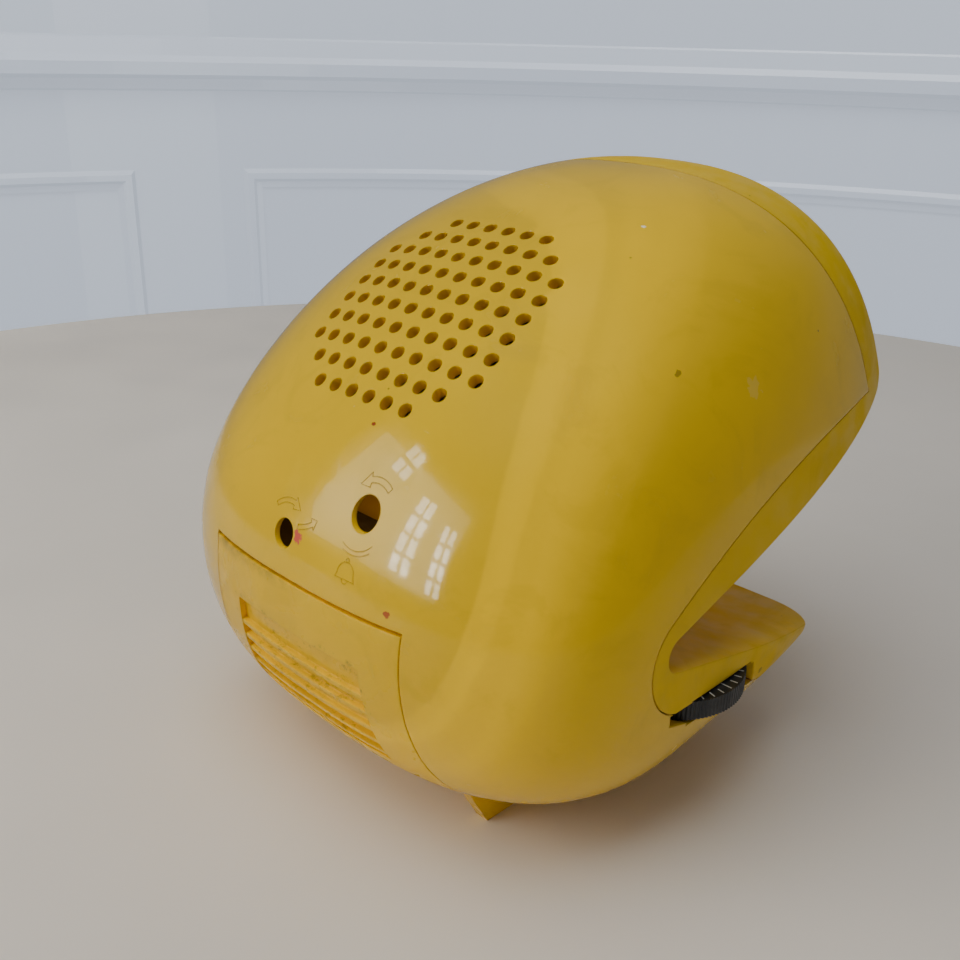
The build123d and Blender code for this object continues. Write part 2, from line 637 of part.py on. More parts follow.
with BuildPart() as tuning_capacitor:
    with Locations((*WHEEL_AXIS, BOARD_TOP)):
        Box(10.4, 10.4, POT_TOP - BOARD_TOP, align=(Align.CENTER, Align.CENTER, Align.MIN))
        Cylinder(2.0 + RUN, 30, align=(Align.CENTER, Align.CENTER, Align.MIN),
                 mode=Mode.SUBTRACT)
finish(tuning_capacitor.part, "tuning_capacitor")

for side, name in ((-1, "volume"), (1, "tuning")):
    centre = (side * WHEEL_AXIS[0], WHEEL_AXIS[1])
    with BuildPart() as wheel:
        with BuildSketch(Plane.XY.offset(WHEEL_Z)):
            with Locations(centre):
                Circle(WHEEL_R)
                with PolarLocations(WHEEL_R + 0.12, NOTCHES):
                    Circle(0.3, mode=Mode.SUBTRACT)
        extrude(amount=WHEEL_T)
        add(upright([centre], 4.0, POT_TOP + 0.4, WHEEL_Z))
        add(upright([centre], 12.5, SCREW_SEAT + 0.6, 40), mode=Mode.SUBTRACT)
        add(upright([centre], 4.4, WHEEL_Z, WHEEL_Z + WHEEL_T - 0.2))
        add(upright([centre], 3.0, SCREW_SEAT, 40), mode=Mode.SUBTRACT)
        add(upright([centre], 2.02, POT_TOP, 40), mode=Mode.SUBTRACT)
    finish(wheel.part, f"{name}_wheel")

    with BuildPart() as shaft:
        add(upright([centre], 2.0, BOARD_TOP + 0.4, SCREW_SEAT - 0.1))
        add(upright([centre], 0.9, WHEEL_Z - 3, 40), mode=Mode.SUBTRACT)
    finish(shaft.part, f"{name}_shaft")

    with BuildPart() as screw:
        add(upright([centre], 2.7, SCREW_SEAT, SCREW_SEAT + 1.1))
        add(upright([centre], 0.85, WHEEL_Z - 2, SCREW_SEAT))
        with Locations((*centre, SCREW_SEAT + 1.1)):
            Box(6, 0.7, 1, mode=Mode.SUBTRACT)
    finish(screw.part, f"{name}_wheel_screw")

# ---- clock ----------------------------------------------------------------------------------------
MOVEMENT = (50.0, 35.4, 2.6)      # width, height, and how far its middle is above the dial's
MOVEMENT_DEPTH = (6.2, 26.0)
ARBOR_END = 9.0                    # depth that the tubes of the hands reach
# name, angle clockwise from twelve, depths of its blade, tube radii, blade length, tail, width
HANDS = [
    ("alarm_hand", 195.0, (4.5, 4.25), (2.0, 1.6), 7.8, 0.0, 1.0),
    ("hour_hand", 305.0, (3.95, 3.6), (1.5, 1.1), 8.2, 2.5, 2.2),
    ("minute_hand", 60.0, (3.3, 2.95), (1.0, 0.6), 11.6, 3.0, 1.6),
    ("second_hand", 210.0, (2.65, 2.45), (0.5, 0.0), 12.2, 5.0, 0.6),
]


with BuildPart() as clock_trim:
    with BuildSketch(face_plane(0)):
        RectangleRounded(WINDOW[0] + 4.5, WINDOW[1] + 4.5, WINDOW[2] + 2)
        RectangleRounded(WINDOW[0] - 3, WINDOW[1] - 3, WINDOW[2] - 1.5, mode=Mode.SUBTRACT)
    extrude(amount=1.2)
    fillet(clock_trim.faces().sort_by_distance(face_plane(-60).origin)[0].edges(), 0.5)
finish(clock_trim.part, "clock_trim")

with BuildPart() as clock_lens:
    with BuildSketch(face_plane(1.6)):
        RectangleRounded(WINDOW[0] - 0.4, WINDOW[1] - 0.4, WINDOW[2] - 0.2)
    extrude(amount=1.5)
finish(clock_lens.part, "clock_lens")

with BuildPart() as clock_dial:
    with BuildSketch(face_plane(DIAL_DEPTH + 1)):
        RectangleRounded(WINDOW[0] + 9, WINDOW[1] + 4.5, WINDOW[2])
        with Locations((0, EAR[1])):
            RectangleRounded(2 * EAR[0] + 3.4, 4, 1)
        Circle(2.5, mode=Mode.SUBTRACT)
        with Locations(*EARS):
            Circle(1.1, mode=Mode.SUBTRACT)
    extrude(amount=1)
finish(clock_dial.part, "clock_dial")

with BuildPart() as clock_screws:
    for ear in EARS:
        add(clock_bar(1.4, DIAL_DEPTH + 2.1, DIAL_DEPTH + 1, ear))
        add(clock_bar(0.85, DIAL_DEPTH + 1, DIAL_DEPTH - 1.8, ear))
finish(clock_screws.part, "clock_screws")

with BuildPart() as clock_movement:
    with BuildSketch(face_plane(MOVEMENT_DEPTH[1], (0, MOVEMENT[2]))):
        RectangleRounded(MOVEMENT[0], MOVEMENT[1], 3)
    extrude(amount=MOVEMENT_DEPTH[1] - MOVEMENT_DEPTH[0])
    add(clock_bar(2.1, ARBOR_END + 0.5, 6, (0, 0)), mode=Mode.SUBTRACT)
    for x, up, end in (TIME_KEY, ALARM_KEY):
        add(clock_bar(1.25 + RUN, 30, 20, (x, up)), mode=Mode.SUBTRACT)
finish(clock_movement.part, "clock_movement")

for name, angle, (back, front), (outer, bore), length, tail, width in HANDS:
    with BuildPart() as hand:
        with BuildSketch(face_plane(back)):
            with BuildLine(Rot(Z=-angle)):
                Polyline((-width / 2, -tail), (width / 2, -tail), (width / 2, length * 0.7),
                         (0.15, length), (-0.15, length), (-width / 2, length * 0.7), close=True)
            make_face()
            Circle(outer + 0.5)
        extrude(amount=back - front)
        add(clock_bar(outer, ARBOR_END, front))
        if bore:
            add(clock_bar(bore, ARBOR_END + 1, front - 1), mode=Mode.SUBTRACT)
    finish(hand.part, name)

for (x, up, end), radius, name in ((TIME_KEY, TIME_KNOB_R, "time"), (ALARM_KEY, ALARM_KNOB_R, "alarm")):
    with BuildPart() as spindle:
        add(clock_bar(1.25, end - 2, 20.5, (x, up)))
    finish(spindle.part, f"{name}_set_spindle")
    with BuildPart() as knob:
        with BuildSketch(face_plane(end, (x, up))):
            Circle(radius)
            with PolarLocations(radius + 0.1, 20):
                Circle(0.35, mode=Mode.SUBTRACT)
        extrude(amount=6.5)
        add(clock_bar(1.26, end - 2, end - 10, (x, up)), mode=Mode.SUBTRACT)
    finish(knob.part, f"{name}_set_knob")
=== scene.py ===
import json
import math

import bpy
from mathutils import Matrix, Vector
from mathutils.bvhtree import BVHTree


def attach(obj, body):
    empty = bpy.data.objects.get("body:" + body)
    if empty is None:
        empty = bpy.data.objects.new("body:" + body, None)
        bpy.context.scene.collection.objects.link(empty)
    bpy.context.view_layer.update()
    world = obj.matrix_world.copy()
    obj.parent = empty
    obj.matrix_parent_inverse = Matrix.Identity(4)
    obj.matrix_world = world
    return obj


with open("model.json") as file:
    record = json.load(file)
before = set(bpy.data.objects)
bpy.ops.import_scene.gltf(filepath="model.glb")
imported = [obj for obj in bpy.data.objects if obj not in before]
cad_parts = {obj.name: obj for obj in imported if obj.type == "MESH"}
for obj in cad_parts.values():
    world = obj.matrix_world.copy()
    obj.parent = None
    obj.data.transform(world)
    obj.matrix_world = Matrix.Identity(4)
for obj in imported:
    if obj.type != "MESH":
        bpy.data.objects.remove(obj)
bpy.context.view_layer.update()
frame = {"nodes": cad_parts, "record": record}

MM = 0.001


def in_scene(name, data):
    """A new object, linked to the scene."""
    made = bpy.data.objects.new(name, data)
    bpy.context.scene.collection.objects.link(made)
    return made


# ---- camera --------------------------------------------------------------------------------------
EYE = Vector((-0.15128, 0.16822, 0.14729))
BACK = Vector((-0.6497, 0.6580, 0.3807)).normalized()   # from what it looks at to the camera
ROLL = math.radians(1.37)
LENS, SENSOR = 40.29, 36.0                               # millimetres
NEAREST = 0.01                                           # metres


def add_camera():
    level = (-BACK).cross(Vector((0, 0, 1))).normalized()
    rise = level.cross(-BACK)
    right = level * math.cos(ROLL) + rise * math.sin(ROLL)
    up = rise * math.cos(ROLL) - level * math.sin(ROLL)
    data = bpy.data.cameras.new("camera")
    data.sensor_width = SENSOR
    data.lens = LENS
    data.clip_start = NEAREST
    camera = in_scene("camera", data)
    camera.matrix_world = Matrix.Translation(EYE) @ Matrix((right, up, BACK)).transposed().to_4x4()
    bpy.context.scene.camera = camera


add_camera()


# ---- material helpers ----------------------------------------------------------------------------
class Surface:
    """A new node material, with short calls for the textures that the surfaces share."""

    def __init__(self, name, colour, rough, metal=0.0, **sockets):
        self.mat = bpy.data.materials.new(name)
        self.mat.use_nodes = True
        self.tree = self.mat.node_tree
        self.shader = self.tree.nodes["Principled BSDF"]
        self.base = (*colour, 1.0)
        self.set("Base Color", self.base)
        self.set("Roughness", rough)
        self.set("Metallic", metal)
        for key, value in sockets.items():
            self.set(key.replace("_", " "), value)
        self.where = self.node("ShaderNodeTexCoord").outputs["Object"]
        self.colour = None
        self.normal = None

    def node(self, kind, **values):
        made = self.tree.nodes.new(kind)
        for key, value in values.items():
            setattr(made, key, value)
        return made

    def set(self, socket, value):
        self.shader.inputs[socket].default_value = value

    def link(self, source, target):
        self.tree.links.new(source, target)

    def stretched(self, scale, turn=(0, 0, 0)):
        """The object's coordinates, stretched and turned, for grain that runs one way."""
        mapping = self.node("ShaderNodeMapping")
        mapping.inputs["Scale"].default_value = scale
        mapping.inputs["Rotation"].default_value = turn
        self.link(self.where, mapping.inputs["Vector"])
        return mapping.outputs["Vector"]

    def noise(self, scale, detail=3.0, rough=0.5, distort=0.0, where=None):
        made = self.node("ShaderNodeTexNoise")
        for key, value in (("Scale", scale), ("Detail", detail), ("Roughness", rough),
                           ("Distortion", distort)):
            made.inputs[key].default_value = value
        self.link(where or self.where, made.inputs["Vector"])
        return made.outputs["Fac"]

    def cells(self, scale):
        """The distance to the nearest of many scattered points, and a number that each one has."""
        made = self.node("ShaderNodeTexVoronoi")
        made.inputs["Scale"].default_value = scale
        self.link(self.where, made.inputs["Vector"])
        split = self.node("ShaderNodeSeparateColor")
        self.link(made.outputs["Color"], split.inputs[0])
        return made.outputs["Distance"], split.outputs[0]

    def bands(self, scale):
        """Even waves along X."""
        made = self.node("ShaderNodeTexWave", wave_type="BANDS", bands_direction="X")
        made.inputs["Scale"].default_value = scale
        self.link(self.where, made.inputs["Vector"])
        return made.outputs["Fac"]

    def fade(self, value, low, high, out_low=0.0, out_high=1.0):
        """Maps value from low..high to out_low..out_high, held at both ends."""
        made = self.node("ShaderNodeMapRange", interpolation_type="SMOOTHSTEP")
        for key, number in (("From Min", low), ("From Max", high), ("To Min", out_low),
                            ("To Max", out_high)):
            made.inputs[key].default_value = number
        self.link(value, made.inputs["Value"])
        return made.outputs["Result"]

    def maths(self, how, a, b):
        made = self.node("ShaderNodeMath", operation=how)
        for socket, value in zip(made.inputs, (a, b)):
            if isinstance(value, (int, float)):
                socket.default_value = value
            else:
                self.link(value, socket)
        return made.outputs[0]

    def times(self, a, b):
        return self.maths("MULTIPLY", a, b)

    def axis(self, name):
        made = self.node("ShaderNodeSeparateXYZ")
        self.link(self.where, made.inputs[0])
        return made.outputs[name]

    def near(self, centre, radius):
        """1 inside a ragged spot round a point, in millimetres, falling to 0 outside it."""
        made = self.node("ShaderNodeVectorMath", operation="DISTANCE")
        self.link(self.where, made.inputs[0])
        made.inputs[1].default_value = [c * MM for c in centre]
        ragged = 0.35 * radius * MM
        wobble = self.fade(self.noise(900, detail=4), 0.3, 0.7, -ragged, ragged)
        distance = self.maths("ADD", made.outputs["Value"], wobble)
        return self.fade(distance, radius * MM, radius * 0.8 * MM)

    def between(self, axis, low, high, soft):
        """1 where a coordinate lies between two values, in millimetres, with soft ends."""
        value = self.axis(axis)
        rising = self.fade(value, (low - soft) * MM, low * MM)
        return self.times(rising, self.fade(value, (high + soft) * MM, high * MM))

    def tint(self, colour, amount):
        """Lays a colour over what is there, as far as amount says."""
        mix = self.node("ShaderNodeMix", data_type="RGBA")
        factor, under, over = mix.inputs[0], mix.inputs[6], mix.inputs[7]
        if self.colour is None:
            under.default_value = self.base
        else:
            self.link(self.colour, under)
        over.default_value = (*colour, 1.0)
        self.link(amount, factor)
        self.colour = mix.outputs[2]
        self.link(self.colour, self.shader.inputs["Base Color"])

    def vary(self, scale, amount, detail=4.0):
        """Drifts the colour a little lighter and darker."""
        shade = self.noise(scale, detail)
        dark = [c * (1 - amount) for c in self.base[:3]]
        light = [min(1.0, c * (1 + amount)) for c in self.base[:3]]
        self.tint(dark, self.fade(shade, 0.55, 0.3))
        self.tint(light, self.fade(shade, 0.5, 0.75))

    def bump(self, height, depth, strength=1.0):
        """Adds relief, depth in millimetres."""
        made = self.node("ShaderNodeBump")
        made.inputs["Strength"].default_value = strength
        made.inputs["Distance"].default_value = depth * MM
        self.link(height, made.inputs["Height"])
        if self.normal is not None:
            self.link(self.normal, made.inputs["Normal"])
        self.normal = made.outputs["Normal"]
        self.link(self.normal, self.shader.inputs["Normal"])

    def soften(self, radius):
        """Rounds sharp edges in the shading."""
        made = self.node("ShaderNodeBevel", samples=4)
        made.inputs["Radius"].default_value = radius * MM
        self.normal = made.outputs["Normal"]
        self.link(self.normal, self.shader.inputs["Normal"])

    def gloss(self, value):
        """Drives the roughness."""
        self.link(value, self.shader.inputs["Roughness"])


YELLOW = (0.90, 0.55, 0.0)
YELLOW_FRONT = (0.84, 0.53, 0.004)
# Grime, and also the colour of the painted shade on the battery door's grip and top edge.
GRIME_AND_SHADE = (0.10, 0.060, 0.015)
PALE_WEAR = (0.93, 0.86, 0.62)
GREY_DUST = (0.55, 0.52, 0.46)
TAN_DUST = (0.42, 0.33, 0.12)
RED_INK = (0.75, 0.03, 0.10)
RED_SPECK = (0.45, 0.02, 0.01)
DARK_SPECK = (0.30, 0.015, 0.01)


def smears(s, rough):
    """Skin grease, which dulls and darkens the gloss in patches."""
    smear = s.fade(s.noise(46, detail=6, rough=0.62, distort=1.6), 0.50, 0.66)
    uneven = s.fade(s.noise(120, detail=5), 0.3, 0.8, rough * 0.7, rough * 1.5)
    s.gloss(s.maths("ADD", uneven, s.times(smear, 0.10)))
    s.tint([c * 0.82 for c in s.base[:3]], s.times(smear, 0.35))


def scratches(s):
    """Hair scratches in two directions."""
    for turn in ((0.5, 0.2, 0.9), (1.4, -0.3, 2.2)):
        lines = s.noise(9.0, detail=6, rough=0.75, where=s.stretched((6, 160, 160), turn))
        cut = s.fade(lines, 0.70, 0.73)
        s.tint(PALE_WEAR, s.times(cut, 0.10))
        s.bump(cut, depth=-0.006, strength=0.6)


def specks(s, scale, chance, size, colour):
    """Small marks, few and far between: chance is the share of points that have none."""
    distance, pick = s.cells(scale)
    chosen = s.fade(pick, chance, chance + 0.01)
    s.tint(colour, s.times(s.times(chosen, s.fade(distance, size, size * 0.6)), 0.7))


def case_plastic(name, colour, rough, spots=(), coat=0.3, sheen=0.4):
    """Glossy moulded ABS with handling marks; a spot is (centre, radius, colour, amount)."""
    s = Surface(name, colour, rough, IOR=1.36, Specular_IOR_Level=sheen, Coat_Weight=coat,
                Coat_Roughness=0.02, Coat_IOR=1.4)
    s.soften(0.45)
    s.vary(22, 0.06)
    s.bump(s.noise(260, detail=2), depth=0.010)
    s.bump(s.noise(4200, detail=2), depth=0.0016)
    smears(s, rough)
    scratches(s)
    specks(s, 120, 0.94, 0.045, PALE_WEAR)
    specks(s, 170, 0.95, 0.050, GRIME_AND_SHADE)
    for centre, radius, mark, amount in spots:
        s.tint(mark, s.times(s.near(centre, radius), amount))
    return s


def plain(name, colour, rough, metal=0.0, drift=0.08, drift_scale=60, grain=0.004,
          grain_scale=2600, wear=0.0, **sockets):
    """An ordinary surface: drifting colour, grain, uneven gloss and a little dust."""
    s = Surface(name, colour, rough, metal, **sockets)
    s.vary(drift_scale, drift)
    s.bump(s.noise(grain_scale), grain)
    s.gloss(s.fade(s.noise(drift_scale * 3, detail=4), 0.25, 0.75,
                   rough * 0.75, min(1.0, rough * 1.3)))
    if wear:
        s.tint(GREY_DUST, s.times(s.fade(s.noise(150, detail=6), 0.52, 0.72), wear))
    return s


# ---- materials that have marks of their own ------------------------------------------------------
def rear_yellow():
    return case_plastic("case_yellow", YELLOW, 0.16, [
        ((-7.5, 50.4, 81.7), 0.55, DARK_SPECK, 0.95),
        ((-25.0, 63.0, 54.3), 0.75, RED_SPECK, 0.85),
        ((0.3, 62.9, 60.2), 1.3, RED_INK, 0.8),
        ((-48.8, 15.7, 94.2), 0.8, GRIME_AND_SHADE, 0.6),
        ((-55.5, 0.5, 90.0), 2.2, PALE_WEAR, 0.07),
        ((-25.7, -2.0, 114.6), 0.5, PALE_WEAR, 0.9),
        ((8.5, 33.0, 99.0), 0.45, PALE_WEAR, 0.9)])


def door_yellow():
    """The rear's plastic, with grime and painted shade on the grip, and grime and a painted shadow along
    the top edge under the case's overhang.
    """
    s = case_plastic("door_yellow", YELLOW, 0.3, coat=0.1)
    # Painted shade: the dark tint over the grip stands in for the shade in its recesses as well as for
    # grime.
    grip = s.times(s.between("X", -20.5, 20.5, 1.0), s.between("Z", 20, 41.5, 1.0))
    s.tint(GRIME_AND_SHADE, s.times(grip, s.fade(s.noise(420, detail=6, rough=0.7), 0.54, 0.70, 0.0, 0.6)))
    # Painted shadow: the dark band along the top edge stands in for the shadow under the case's overhang
    # as well as for grime.
    top = s.times(s.fade(s.axis("Z"), 48.0 * MM, 51.0 * MM), s.fade(s.axis("X"), -8 * MM, 18 * MM))
    s.tint(GRIME_AND_SHADE, s.times(top, s.fade(s.noise(300, detail=6, rough=0.7), 0.35, 0.65, 0.05, 0.6)))
    return s


def front_yellow():
    """Duller plastic, with dust in the mouth."""
    s = case_plastic("front_yellow", YELLOW_FRONT, 0.5, coat=0.0, sheen=0.25, spots=[
        ((-58.0, 22.0, 45.0), 2.0, PALE_WEAR, 0.25),
        ((-60.0, -8.0, 28.0), 1.0, GRIME_AND_SHADE, 0.5)])
    deck = s.times(s.between("Z", 26, 46, 3), s.between("Y", -36, 28, 3))
    s.tint(TAN_DUST, s.times(deck, s.fade(s.noise(75, detail=6, rough=0.65), 0.45, 0.75, 0.0, 0.25)))
    return s


def speaker_cloth():
    s = plain("speaker_cloth_black", (0.012, 0.011, 0.010), 0.9, drift=0.2, Sheen_Weight=0.3)
    s.bump(s.bands(420), depth=0.15)
    return s


def wound_copper():
    s = plain("coil_copper", (0.55, 0.20, 0.07), 0.32, 0.9, drift=0.1)
    s.bump(s.bands(620), depth=0.12)
    return s


def cell_sleeve():
    """A red sleeve with a gold label, a black line and bare steel ends: (low, high, colour) along X."""
    s = plain("cell_sleeve", (0.42, 0.025, 0.015), 0.28, 0.2, drift=0.05, Coat_Weight=0.4)
    steel, gold, black = (0.55, 0.55, 0.54), (0.62, 0.55, 0.36), (0.02, 0.02, 0.02)
    for low, high, colour in ((-30, -21.5, steel), (21.5, 30, steel), (-16, 3, gold),
                              (-17.2, -16.4, black)):
        s.tint(colour, s.between("X", low, high, 0.15))
    return s


def resistor_body():
    """Two dark bands on each resistor, at their places along X."""
    s = plain("resistor_body", (0.50, 0.33, 0.17), 0.35, drift=0.05)
    for place in (-34.6, -31.4, 31.4, 34.6, -4.2, -1.8, 4.8, 7.2, -28.2, -25.8, 20.8, 23.2):
        s.tint((0.25, 0.02, 0.01), s.between("X", place - 0.25, place + 0.25, 0.05))
    return s


def clear_acrylic():
    s = Surface("clear_acrylic", (0.97, 0.98, 0.98), 0.03, Transmission_Weight=1.0, IOR=1.49)
    s.gloss(s.fade(s.noise(60, detail=6, rough=0.6), 0.45, 0.75, 0.02, 0.12))
    s.bump(s.noise(90), depth=0.004)
    return s


def board_laminate():
    """Brown laminate, with paler winding strips where the tracks show through."""
    s = plain("board_laminate", (0.26, 0.12, 0.035), 0.45, drift=0.12, drift_scale=40)
    tracks = s.noise(60, detail=1.5, rough=0.2, distort=2.2, where=s.stretched((1, 1, 0)))
    strips = s.maths("FRACT", s.times(tracks, 9), 0)
    s.tint((0.34, 0.19, 0.06), s.fade(strips, 0.45, 0.5, 0.0, 0.5))
    return s


# ---- materials, by the record's slots ------------------------------------------------------------
rear = rear_yellow()
door = door_yellow()
SLOTS = {
    "yellow_case": rear,
    "yellow_front": front_yellow(),
    "cloth": speaker_cloth(),
    "copper": wound_copper(),
    "cell": cell_sleeve(),
    "resistor": resistor_body(),
    "wheel_plastic": plain("wheel_charcoal", (0.018, 0.020, 0.022), 0.42, drift=0.25, drift_scale=90,
                           wear=0.10, grain=0.006),
    "lens_clear": clear_acrylic(),
    "board": board_laminate(),
    "dial": plain("dial_print", (0.016, 0.015, 0.014), 0.38, drift=0.15),
    "box_plastic": plain("box_brown", (0.13, 0.10, 0.06), 0.7, drift=0.3, wear=0.3),
    "contact_metal": plain("contact_plated", (0.66, 0.66, 0.63), 0.22, 1.0, wear=0.06),
    "speaker_steel": plain("speaker_black_steel", (0.02, 0.02, 0.022), 0.35, 0.2),
    "speaker_paper": plain("cone_paper", (0.030, 0.026, 0.022), 0.9, grain=0.02, grain_scale=900),
    "magnet": plain("magnet_plated", (0.32, 0.32, 0.33), 0.35, 0.9),
    "screw_steel": plain("screw_zinc", (0.60, 0.58, 0.50), 0.28, 1.0, wear=0.08),
    "ferrite": plain("ferrite_ceramic", (0.025, 0.024, 0.024), 0.6, grain=0.012),
    "holder_plastic": plain("nylon_natural", (0.66, 0.62, 0.50), 0.4, Subsurface_Weight=0.1,
                            Subsurface_Scale=0.002),
    "can_metal": plain("can_tinned", (0.70, 0.70, 0.68), 0.30, 1.0, wear=0.08),
    "core": plain("core_yellow", (0.75, 0.50, 0.03), 0.5),
    "capacitor": plain("capacitor_sleeve", (0.015, 0.05, 0.18), 0.3, Coat_Weight=0.3),
    "chip": plain("chip_epoxy", (0.015, 0.015, 0.015), 0.55, grain=0.01),
    "transistor": plain("transistor_epoxy", (0.018, 0.018, 0.018), 0.5),
    "switch_metal": plain("switch_plated", (0.62, 0.62, 0.60), 0.3, 1.0),
    "knob_white": plain("knob_ivory", (0.72, 0.69, 0.58), 0.3, Coat_Weight=0.3),
    "pot": plain("pot_phenolic", (0.06, 0.035, 0.015), 0.5),
    "variable_cap": plain("capacitor_styrene", (0.72, 0.73, 0.70), 0.3, Subsurface_Weight=0.15,
                          Subsurface_Scale=0.002),
    "shaft_brass": plain("brass_turned", (0.70, 0.50, 0.18), 0.25, 1.0, wear=0.05),
    "trim_chrome": plain("trim_bright", (0.78, 0.78, 0.76), 0.12, 1.0, drift=0.03, grain=0.002,
                         wear=0.03),
    "movement": plain("movement_grey", (0.10, 0.10, 0.105), 0.5),
    "hand_black": plain("hand_enamel_black", (0.012, 0.012, 0.012), 0.3, Coat_Weight=0.3),
    "hand_red": plain("hand_enamel_red", (0.52, 0.02, 0.012), 0.3, Coat_Weight=0.3),
    "spindle_steel": plain("spindle_drawn", (0.50, 0.50, 0.48), 0.3, 1.0),
    "knob_grey": plain("knob_grey_plastic", (0.16, 0.13, 0.09), 0.7, drift=0.3, wear=0.45),
}

slot_of = {entry["node"]: entry["material_slot"] for entry in frame["record"]["subparts"]}
for name, piece in frame["nodes"].items():
    surface = door if name == "battery_door" else SLOTS[slot_of[name]]
    piece.data.materials.clear()
    piece.data.materials.append(surface.mat)


# ---- mesh helpers: lengths in millimetres until a piece is made ----------------------------------
def new_piece(name, verts, faces, surface, body, slot):
    """A mesh piece in the shared frame, in metres, that rides on a body."""
    mesh = bpy.data.meshes.new(name)
    mesh.from_pydata([tuple(v) for v in verts], [], faces)
    mesh.validate()
    mesh.update()
    mesh.materials.append(surface.mat)
    piece = in_scene(name, mesh)
    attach(piece, body)


def spun(degrees):
    return Matrix.Rotation(math.radians(degrees), 4, "Z")


def tube_faces(start, count, points, closed):
    """Quads between one cross-section of some points and the next, for count sections."""
    faces = []
    for i in range(count if closed else count - 1):
        a, b = start + points * i, start + points * ((i + 1) % count)
        faces += [(a + k, b + k, b + (k + 1) % points, a + (k + 1) % points) for k in range(points)]
    return faces


def block(x0, x1, y0, y1, z0, z1):
    verts = [Vector((x, y, z)) for z in (z0, z1) for y in (y0, y1) for x in (x0, x1)]
    faces = [(0, 2, 3, 1), (4, 5, 7, 6), (0, 1, 5, 4), (2, 6, 7, 3), (0, 4, 6, 2), (1, 3, 7, 5)]
    return verts, faces


def ring(inner, outer, z0, z1, steps=96):
    """A flat ring about the Z axis."""
    verts = []
    for i in range(steps):
        a = 2 * math.pi * i / steps
        for radius, z in ((inner, z0), (outer, z0), (outer, z1), (inner, z1)):
            verts.append(Vector((radius * math.cos(a), radius * math.sin(a), z)))
    return verts, tube_faces(0, steps, 4, True)


def number_mesh(text, size, depth=0.05):
    """A number, centred on its origin."""
    curve = bpy.data.curves.new("number", "FONT")
    curve.body = text
    curve.size = size
    curve.extrude = depth / 2
    curve.align_x = "CENTER"
    curve.align_y = "CENTER"
    holder = in_scene("number", curve)
    bpy.context.view_layer.update()
    mesh = bpy.data.meshes.new_from_object(holder)
    verts = [v.co.copy() for v in mesh.vertices]
    faces = [tuple(p.vertices) for p in mesh.polygons]
    bpy.data.objects.remove(holder)
    bpy.data.meshes.remove(mesh)
    return verts, faces


def gather(parts):
    """Joins (place matrix, verts, faces) in millimetres into one mesh in metres."""
    verts, faces = [], []
    for place, some, polygons in parts:
        start = len(verts)
        verts += [(place @ v) * MM for v in some]
        faces += [tuple(start + i for i in p) for p in polygons]
    return verts, faces


# ---- moulded marks beside the setting holes ------------------------------------------------------
TIME_HOLE, ALARM_HOLE = (-15.0, 68.7), (4.4, 59.6)       # X and Z of the holes
TIME_ARC = (-14.6, 68.0)                                 # centre of the arcs below the time hole
MARK_WIDTH, MARK_HEIGHT = 0.26, 0.08
RIDGE = ((-0.5, -0.15), (-0.28, 1), (0.28, 1), (0.5, -0.15))   # section: widths across, heights up
BEHIND = 0.2                                             # a Y behind the whole object, in metres
BELL = [(-16.7, 57.0), (-16.3, 57.7), (-16.1, 58.9), (-15.6, 59.6), (-14.9, 60.0), (-14.2, 60.1),
        (-13.5, 60.0), (-12.8, 59.6), (-12.3, 58.9), (-12.1, 57.7), (-11.7, 57.0)]


def skin_of(node):
    """A search tree over a CAD node's surface."""
    mesh = frame["nodes"][node].data
    return BVHTree.FromPolygons([v.co for v in mesh.vertices], [p.vertices for p in mesh.polygons])


def on_circle(centre, radius, degrees):
    a = math.radians(degrees)
    return centre[0] + radius * math.cos(a), centre[1] + radius * math.sin(a)


def arc(centre, radius, start, end, steps=10):
    """Points on an arc, its angles in degrees."""
    return [on_circle(centre, radius, start + (end - start) * i / steps) for i in range(steps + 1)]


def arrow(centre, radius, start, end, width, head):
    """The outline of an arrow bent round a centre; head is its length in degrees."""
    neck = end - math.copysign(head, end - start)
    barbs = [on_circle(centre, radius + side * width * 1.25, neck) for side in (1, -1)]
    outer = arc(centre, radius + width / 2, start, neck)
    inner = arc(centre, radius - width / 2, neck, start)
    return [*outer, barbs[0], on_circle(centre, radius, end), barbs[1], *inner]


def ridges(paths, cast):
    """Low ridges along (path, closed) on a surface; cast turns a point into (place, normal)."""
    verts, faces = [], []
    for path, closed in paths:
        places = [cast(point) for point in path]
        count, start = len(places), len(verts)
        for i, (place, normal) in enumerate(places):
            before = places[i - 1][0] if i or closed else place
            after = places[(i + 1) % count][0] if i < count - 1 or closed else place
            side = normal.cross(after - before).normalized()
            for across, high in RIDGE:
                verts.append(place + side * across * MARK_WIDTH * MM + normal * high * MARK_HEIGHT * MM)
        faces += tube_faces(start, count, len(RIDGE), closed)
        if not closed:
            end = start + len(RIDGE) * (count - 1)
            faces += [(start + 3, start + 2, start + 1, start), (end, end + 1, end + 2, end + 3)]
    return verts, faces


def setting_marks():
    """Bent arrows and arcs beside the two holes, and a bell."""
    rear_skin = skin_of("rear_shell")

    def on_rear(point):
        place, normal, _, _ = rear_skin.ray_cast(Vector((point[0] * MM, BEHIND, point[1] * MM)),
                                                 Vector((0, -1, 0)))
        return place, normal

    paths = [(arrow(TIME_HOLE, 5.6, 125, 48, 1.0, 24), True),
             (arc(TIME_ARC, 5.6, 222, 300), False),
             (arc(TIME_ARC, 6.4, 232, 292), False),
             (arrow(ALARM_HOLE, 6.0, 48, 122, 0.9, 22), True),
             (arrow((2.0, 70.2), 8.3, 262, 224, 0.9, 10), True),
             (BELL, True),
             (arc((-14.2, 56.9), 0.7, 180, 360, 6), False),
             (arc((-14.2, 60.5), 0.4, 0, 360, 8), True)]
    new_piece("setting_marks", *ridges(paths, on_rear), rear, "case", "yellow_case")


setting_marks()

